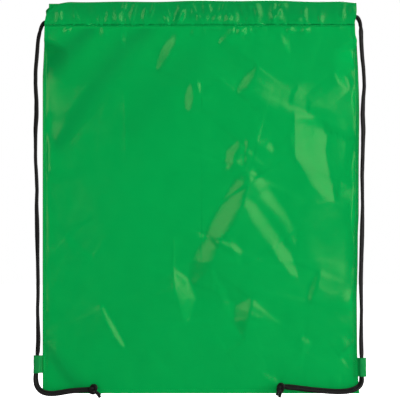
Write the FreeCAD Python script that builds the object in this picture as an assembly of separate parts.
import FreeCAD, Part
import math
import os

# Drawstring sack bag with two cord straps, as separate sewn and threaded pieces.
# Millimetres.  +Z is up, -Y is the front of the bag, +X is to the right seen from the front.
# The origin is under the middle of the bag, level with the lowest cord end.
# Heights h are measured from the bottom edge of the cloth, which is LIFT above the origin.

Vector = FreeCAD.Vector
OUT = "parts"
os.makedirs("parts", exist_ok=True)

# ---------------------------------------------------------------- driving dimensions
BAG_H = 420.0          # cloth height, bottom edge to top of the drawstring channel
LIFT = 5.5             # bottom edge of the cloth above the origin
CLOTH_T = 0.4          # thickness of the cloth
HALF_DEPTH = 11.0      # half of the front-to-back depth of the bag
FLANGE = 5.0           # width of the flat sewn edge along both sides
SEAM_GAP = 0.35        # half of the space between the two flat edges
SEAM_Y = CLOTH_T + SEAM_GAP   # outer face of a flat edge, from the mid plane
SIDES = ((-1, "left"), (1, "right"))


# ---------------------------------------------------------------- shared helpers
def z(h):
    """Z of a height above the bottom edge of the cloth."""
    return h + LIFT


def save(name, solids):
    """Write one piece, made of one or more closed solids."""
    for solid in solids:
        if not solid.isValid() or not solid.isClosed() or solid.Volume <= 0:
            raise RuntimeError(name + " holds a bad solid")
    shape = solids[0] if len(solids) == 1 else Part.makeCompound(solids)
    shape.exportStep(os.path.join(OUT, name + ".step"))


def mirror_x(shape):
    return shape.mirror(Vector(0, 0, 0), Vector(1, 0, 0))


def mirror_y(shape):
    return shape.mirror(Vector(0, 0, 0), Vector(0, 1, 0))


def save_front_and_back(front_name, back_name, front):
    save(front_name, [front])
    save(back_name, [mirror_y(front)])


def outward(solid):
    """Turn a solid right side out if its faces point inwards."""
    if solid.Volume < 0:
        solid.reverse()
    return solid


def unit(vector):
    return Vector(vector).normalize()


def bar(x0, x1, y0, y1, h0, h1):
    return Part.makeBox(x1 - x0, y1 - y0, h1 - h0, Vector(x0, y0, z(h0)))


# ---------------------------------------------------------------- cloth panels
# height h, half width, largest share of the full depth in that row
PANEL_ROWS = [
    (0.0, 169.5, 0.0),
    (9.0, 169.5, 0.0),
    (45.0, 169.3, 0.30),
    (115.0, 169.6, 1.0),
    (330.0, 169.8, 1.0),
    (393.4, 166.0, 1.0),
]
# distance in from the side edge, share of the full depth
SIDE_PROFILE = [(0.0, 0.0), (FLANGE, 0.0), (26.0, 0.42), (62.0, 1.0)]
FLAT_TOL = 1e-7        # a cell bent by more than this is split into triangles


def panel_row(h, half_width, row_share):
    """Points on the outer face of the front panel, from left to right."""
    def profile(side):
        return [
            Vector(side * (half_width - inset),
                   -(SEAM_Y + (HALF_DEPTH - SEAM_Y) * min(share, row_share)), z(h))
            for inset, share in SIDE_PROFILE
        ]
    return profile(-1) + profile(1)[::-1]


def polygon_face(points):
    return Part.Face(Part.makePolygon(points + [points[0]]))


def cell_faces(a, b, c, d):
    """One flat four-sided face, or two triangles where the four corners are not coplanar."""
    normal = (b - a).cross(d - a)
    if normal.Length > 0 and abs(normal.normalize().dot(c - a)) < FLAT_TOL:
        return [polygon_face([a, b, c, d])]
    return [polygon_face([a, b, c]), polygon_face([a, c, d])]


def front_panel():
    """Shallow dish with a flat middle and flat sewn edges, as a thin closed sheet."""
    rows = [panel_row(*row) for row in PANEL_ROWS]
    thick = Vector(0, CLOTH_T, 0)
    faces = []
    for low, high in zip(rows, rows[1:]):
        for j in range(len(low) - 1):
            corners = [low[j], low[j + 1], high[j + 1], high[j]]
            faces += cell_faces(*corners)
            faces += cell_faces(*[corner + thick for corner in corners])
    # rim along the bottom and top, then along the two sides
    for j in range(len(rows[0]) - 1):
        for row in (rows[0], rows[-1]):
            faces.append(polygon_face([row[j], row[j + 1], row[j + 1] + thick, row[j] + thick]))
    for low, high in zip(rows, rows[1:]):
        for j in (0, -1):
            faces.append(polygon_face([low[j], high[j], high[j] + thick, low[j] + thick]))
    shell = Part.makeShell(faces)
    shell.sewShape()
    return outward(Part.makeSolid(shell)).removeSplitter()


save_front_and_back("front_panel", "back_panel", front_panel())

# ---------------------------------------------------------------- drawstring channels
CHANNEL_H = 26.4             # height of the channel
CHANNEL_T = 5.4              # channel thickness, front to back
CHANNEL_HALF = 165.0         # half length of the outer wall
CHANNEL_INNER_HALF = 160.5   # half length of the inner wall, cut back so the cord can turn
CHANNEL_EDGE_R = 2.4         # outer radius of the rounded long edges
CHANNEL_BOTTOM = BAG_H - CHANNEL_H
OUTER_WALL_KEEP = 1.2        # front part of the thickness that the end notches leave
NOTCH_OVER = 2.0             # notches reach this far past the channel
TURN_X = 158.5               # centre of the cord's turn; the hems end here too
HEM_LENGTH = 10.0            # turned-in hem at each channel end
HEM_GAP = 0.1                # space between hem and channel wall


def channel_bar(x0, x1, inset):
    """Bar along X with rounded long edges, inset from the outside of the front channel."""
    box = bar(x0, x1, -HALF_DEPTH + inset, -HALF_DEPTH + CHANNEL_T - inset,
              CHANNEL_BOTTOM + inset, BAG_H - inset)
    long_edges = []
    for edge in box.Edges:
        start, end = [vertex.Point for vertex in edge.Vertexes]
        if abs(start.y - end.y) < 1e-6 and abs(start.z - end.z) < 1e-6:
            long_edges.append(edge)
    return box.makeFillet(CHANNEL_EDGE_R - inset, long_edges)


def channel_sleeve(x0, x1, inset):
    """Flattened cloth tube, open at both ends."""
    return channel_bar(x0, x1, inset).cut(channel_bar(x0 - 1, x1 + 1, inset + CLOTH_T))


def front_channel():
    tube = channel_sleeve(-CHANNEL_HALF, CHANNEL_HALF, 0.0)
    notch_end = CHANNEL_HALF + NOTCH_OVER
    notch_y = -HALF_DEPTH + OUTER_WALL_KEEP
    for x0, x1 in ((-notch_end, -CHANNEL_INNER_HALF), (CHANNEL_INNER_HALF, notch_end)):
        tube = tube.cut(bar(x0, x1, notch_y, notch_y + CHANNEL_T,
                            CHANNEL_BOTTOM - NOTCH_OVER, BAG_H + NOTCH_OVER))
    return tube.Solids[0]


def front_channel_hem(side):
    """Raw channel end turned into the tunnel: a short flattened sleeve around the cords."""
    hem = channel_sleeve(TURN_X - HEM_LENGTH, TURN_X, CLOTH_T + HEM_GAP).Solids[0]
    return mirror_x(hem) if side < 0 else hem


save_front_and_back("front_channel", "back_channel", front_channel())
for side, word in SIDES:
    save_front_and_back(word + "_front_channel_hem", word + "_back_channel_hem",
                        front_channel_hem(side))

# ---------------------------------------------------------------- seam threads
THREAD = 0.4                 # thread thickness
THREAD_GAP = 0.05            # space between thread and cloth
STITCH_W = 0.6               # width of a stitched row
SIDE_ROW_X = 166.6           # middle of the side rows
SIDE_ROW_TOP = 328.0
BOTTOM_ROW_H = 3.4           # lower edge of the bottom row
BOTTOM_ROW_HALF = 164.8
CHANNEL_ROW_HALF = 163.5
CHANNEL_ROW_H = CHANNEL_BOTTOM + 2.6
MOUTH_TACK_X = 155.0         # block of thread that closes the top of the side seam
MOUTH_TACK_HALF_W = 0.8
MOUTH_TACK_HALF_T = 0.5
MOUTH_TACK_H = (382.0, 391.5)


def front_thread(x, half_width, surface, h0, h1):
    """Strip of thread just in front of cloth whose outer face is surface from the mid plane."""
    near = surface + THREAD_GAP
    return bar(x - half_width, x + half_width, -near - THREAD, -near, h0, h1)


def mouth_bartack(side):
    """Dense block of thread between the two panels."""
    x = side * MOUTH_TACK_X
    return bar(x - MOUTH_TACK_HALF_W, x + MOUTH_TACK_HALF_W,
               -MOUTH_TACK_HALF_T, MOUTH_TACK_HALF_T, *MOUTH_TACK_H)


save_front_and_back(
    "front_channel_stitching", "back_channel_stitching",
    front_thread(0, CHANNEL_ROW_HALF, HALF_DEPTH, CHANNEL_ROW_H, CHANNEL_ROW_H + STITCH_W))
save_front_and_back(
    "bottom_needle_thread", "bottom_bobbin_thread",
    front_thread(0, BOTTOM_ROW_HALF, SEAM_Y, BOTTOM_ROW_H, BOTTOM_ROW_H + STITCH_W))
for side, word in SIDES:
    save_front_and_back(
        word + "_side_needle_thread", word + "_side_bobbin_thread",
        front_thread(side * SIDE_ROW_X, STITCH_W / 2, SEAM_Y,
                     BOTTOM_ROW_H + STITCH_W, SIDE_ROW_TOP))
    save(word + "_mouth_bartack", [mouth_bartack(side)])

# ---------------------------------------------------------------- cord dimensions
CORD_R = 1.6                 # radius of one strand
PAIR = 1.9                   # half spacing of the two strands of a strap
RUN_Y = 8.3                  # strands from the mid plane inside the channels
RUN_END_X = 164.0            # where the strands start to bend down
BALL_R = CORD_R + 0.05       # rounded strand end that sits on a bending point
CLEAR = BALL_R + 0.10        # the neighbouring strand stops this far from the bending point
TAIL_LEAD = 1.0              # drop before the tail starts to bend
TAIL_STEPS = 26              # intervals between the points of a tail strand
TWIST = 38.0                 # degrees the tail pair turns about its middle line
TWIST_START = 0.05           # share of the tail before the twist
TWIST_SPAN = 0.30            # share of the tail over which it twists
KNOT_CORE_R = 3.5
END_R = 1.55                 # radius of the cut ends

# In each cord x is outwards from the middle of the bag.
#   run_h                height inside the channels
#   elbow                (x, distance from the mid plane, height above run_h)
#   top, strap, ankle    (x, h) of the strap from the bag's mouth to above the tab
#   pivot                (x, h) of the bend below the tab
#   tab_h                lower and upper edge of the tab
#   tail, knot           (x, y, h) along the tail, and of the knot's centre
#   ends                 (x, y, h) of the start and tip of each cut end
LEFT = dict(
    word="left", side=-1, run_h=398.0,
    elbow=[(168.6, 6.4, -2.4), (171.5, 3.4, -7.4)],
    top=(173.0, 384.0),
    strap=[(176.2, 325.0), (177.4, 270.0), (177.0, 215.0), (176.6, 165.0), (175.6, 110.0)],
    ankle=(175.6, 46.0), pivot=(176.2, 10.0), tab_h=(21.6, 40.3),
    tail=[(175.7, -2.2, 5.6), (173.2, -4.9, 2.6), (167.5, -5.8, 1.0), (157.0, -5.4, 0.5),
          (145.0, -5.2, 1.9), (133.0, -5.6, 4.0), (119.5, -6.0, 5.6)],
    knot=(115.0, -6.9, 6.4),
    ends=[((111.9, -6.0, 2.6), (108.3, -5.8, -3.95)),
          ((113.4, -8.8, 1.8), (111.0, -9.2, -2.6))],
)
RIGHT = dict(
    word="right", side=1, run_h=404.0,
    elbow=[(169.6, 7.0, -0.5), (172.9, 4.0, -5.2)],
    top=(173.6, 388.0),
    strap=[(176.8, 330.0), (176.0, 275.0), (175.4, 215.0), (175.0, 165.0), (174.4, 110.0)],
    ankle=(174.6, 43.4), pivot=(174.4, 7.0), tab_h=(18.4, 37.7),
    tail=[(173.9, -2.2, 3.2), (171.6, -4.9, 1.4), (166.0, -5.8, 1.0), (150.0, -5.4, 1.2),
          (133.0, -5.2, 2.5), (115.0, -5.6, 4.8), (92.0, -6.0, 6.2)],
    knot=(87.0, -6.9, 6.2),
    ends=[((85.8, -5.2, 1.8), (84.4, -5.0, -3.3)),
          ((84.2, -8.6, 1.4), (82.8, -8.8, -2.2))],
)


# ---------------------------------------------------------------- cord helpers
def cord_point(cord, x, y, h):
    return Vector(cord["side"] * x, y, z(h))


def curve(points):
    spline = Part.BSplineCurve()
    spline.interpolate(Points=points)
    return spline


def sweep(edges):
    """Round strand along a chain of edges."""
    wire = Part.Wire(edges)
    first = wire.Edges[0]
    start = first.FirstParameter
    ring = Part.Wire(Part.makeCircle(CORD_R, first.valueAt(start), first.tangentAt(start)))
    pipe = Part.BRepOffsetAPI.MakePipeShell(wire)
    pipe.setFrenetMode(False)
    pipe.add(ring)
    pipe.build()
    pipe.makeSolid()
    return outward(pipe.shape().Solids[0])


def strand(edge, start):
    """Strand along one edge, with a rounded end at its start."""
    return sweep([edge]).fuse(Part.makeSphere(BALL_R, start)).Solids[0]


def curved_strand(points):
    return strand(curve(points).toShape(), points[0])


def stop_short(before, end):
    """The end point, moved back towards the one before it by CLEAR."""
    return end - unit(end - before) * CLEAR


# ---------------------------------------------------------------- cord pieces
def channel_run(cord):
    """Through one channel, round at the far end, and back through the other.

    At the cord's own end both strands bend down and come together.
    """
    side, h = cord["side"], cord["run_h"]
    far = -side * TURN_X
    front_far, back_far = Vector(far, -RUN_Y, z(h)), Vector(far, RUN_Y, z(h))
    turn_tip = Vector(far - side * RUN_Y, 0, z(h))
    run = sweep([
        Part.makeLine(cord_point(cord, RUN_END_X, -RUN_Y, h), front_far),
        Part.Arc(front_far, turn_tip, back_far).toShape(),
        Part.makeLine(back_far, cord_point(cord, RUN_END_X, RUN_Y, h)),
    ])
    top_x, top_h = cord["top"]
    for face in (-1, 1):
        points = [cord_point(cord, RUN_END_X, face * RUN_Y, h)]
        points += [cord_point(cord, x, face * y, h + rise) for x, y, rise in cord["elbow"]]
        points.append(cord_point(cord, top_x, face * PAIR, top_h + CLEAR))
        run = run.fuse(curved_strand(points))
    return run.Solids[0]


def strap(cord):
    """Two strands from the mouth of the bag down to just above the tab."""
    strands = []
    for y in (-PAIR, PAIR):
        stations = [cord["top"]] + cord["strap"] + [cord["ankle"]]
        points = [cord_point(cord, x, y, h) for x, h in stations]
        points[-1] = stop_short(points[-2], points[-1])
        strands.append(curved_strand(points))
    return strands


def tab_pass(cord):
    """Two straight strands through the tab."""
    (ankle_x, ankle_h), (pivot_x, pivot_h) = cord["ankle"], cord["pivot"]
    strands = []
    for y in (-PAIR, PAIR):
        start = cord_point(cord, ankle_x, y, ankle_h)
        end = stop_short(start, cord_point(cord, pivot_x, y, pivot_h))
        strands.append(strand(Part.makeLine(start, end), start))
    return strands


def tail_strands(cord):
    """The pair comes forward under the tab and runs along the bottom edge to the knot."""
    x, h = cord["pivot"]
    stations = [(x, 0, h), (x, 0, h - TAIL_LEAD)] + cord["tail"]
    middle = curve([cord_point(cord, *station) for station in stations])
    start, end = middle.FirstParameter, middle.LastParameter
    strands = []
    for pair_side in (-1, 1):
        points = []
        for i in range(TAIL_STEPS + 1):
            share = i / TAIL_STEPS
            place = start + (end - start) * share
            along = unit(Vector(*middle.tangent(place)[0]))
            across = Vector(0, 1, 0)
            if i > 0:   # the first point stays in line with the strand above
                across = unit(across - along * along.y)
            up = along.cross(across)
            if up.z < 0:
                up = up * -1
            ease = min(max((share - TWIST_START) / TWIST_SPAN, 0.0), 1.0)
            angle = math.radians(TWIST) * ease * ease * (3 - 2 * ease)
            points.append(middle.value(place)
                          + across * (pair_side * PAIR * math.cos(angle))
                          + up * (pair_side * PAIR * math.sin(angle)))
        strands.append(curved_strand(points))
    return strands


def cut_ends(cord):
    """The two round-tipped ends that leave the knot."""
    solids = []
    for ends in cord["ends"]:
        start, tip = [cord_point(cord, *end) for end in ends]
        body = Part.makeCylinder(END_R, (tip - start).Length, start, tip - start)
        solids.append(body.fuse(Part.makeSphere(END_R, tip)).Solids[0])
    return solids


def overhand_knot(cord, strands):
    """Round core with two crossing wraps, cleared for the strands that enter it."""
    side = cord["side"]
    centre = cord_point(cord, *cord["knot"])
    # ring radius, strand radius, axis of each wrap
    wraps = [(2.9, CORD_R, Vector(side * 0.75, 0.25, 0.6)),
             (2.75, END_R, Vector(-side * 0.55, 0.45, 0.7))]
    knot = Part.makeSphere(KNOT_CORE_R, centre)
    for ring_r, strand_r, axis in wraps:
        knot = knot.fuse(Part.makeTorus(ring_r, strand_r, centre, axis))
    for solid in strands:
        knot = knot.cut(solid)
    return max(knot.Solids, key=lambda solid: solid.Volume)


# ---------------------------------------------------------------- tabs
TAPE_T = 0.28                # tape thickness
TAB_OUT = 179.3              # outermost point of both tabs
TACK_X = 168.1               # bar tack across the seam where the tab ends are sewn in
TACK_HALF_W = 0.5
TACK_INSET = 1.5             # tack ends inside the edges of the tab
# (x outwards, distance from the mid plane) of the tape's middle line, from the sewn end to the fold
TAPE_LINE = [
    (164.6, 0.17), (169.8, 0.17), (170.3, 0.9), (170.9, 2.4), (171.8, 3.9),
    (173.2, 4.5), (175.6, 4.5), (177.4, 3.9), (178.6, 2.6), (TAB_OUT - TAPE_T / 2, 0.9),
]


def tape_tab(cord):
    """Tape folded round the cords; its two ends lie between the flat edges of the panels."""
    line = [(x, -y) for x, y in TAPE_LINE] + TAPE_LINE[::-1]
    one_face, other_face = [], []
    for i, (x, y) in enumerate(line):
        x0, y0 = line[max(i - 1, 0)]
        x1, y1 = line[min(i + 1, len(line) - 1)]
        length = math.hypot(x1 - x0, y1 - y0)
        shift_x = -(y1 - y0) / length * TAPE_T / 2
        shift_y = (x1 - x0) / length * TAPE_T / 2
        one_face.append((x + shift_x, y + shift_y))
        other_face.append((x - shift_x, y - shift_y))
    low, high = cord["tab_h"]
    section = [cord_point(cord, x, y, low) for x, y in one_face + other_face[::-1]]
    return outward(polygon_face(section).extrude(Vector(0, 0, high - low)))


def tab_bartack(cord):
    low, high = cord["tab_h"]
    return front_thread(cord["side"] * TACK_X, TACK_HALF_W, SEAM_Y,
                        low + TACK_INSET, high - TACK_INSET)


for cord in (LEFT, RIGHT):
    word = cord["word"]
    tail, ends = tail_strands(cord), cut_ends(cord)
    save(word + "_cord_channel_run", [channel_run(cord)])
    save(word + "_cord_strap", strap(cord))
    save(word + "_cord_tab_pass", tab_pass(cord))
    save(word + "_cord_tail", tail)
    save(word + "_knot", [overhand_knot(cord, tail + ends)])
    save(word + "_cord_ends", ends)
    save(word + "_tab", [tape_tab(cord)])
    save_front_and_back(word + "_tab_bartack_front", word + "_tab_bartack_back",
                        tab_bartack(cord))
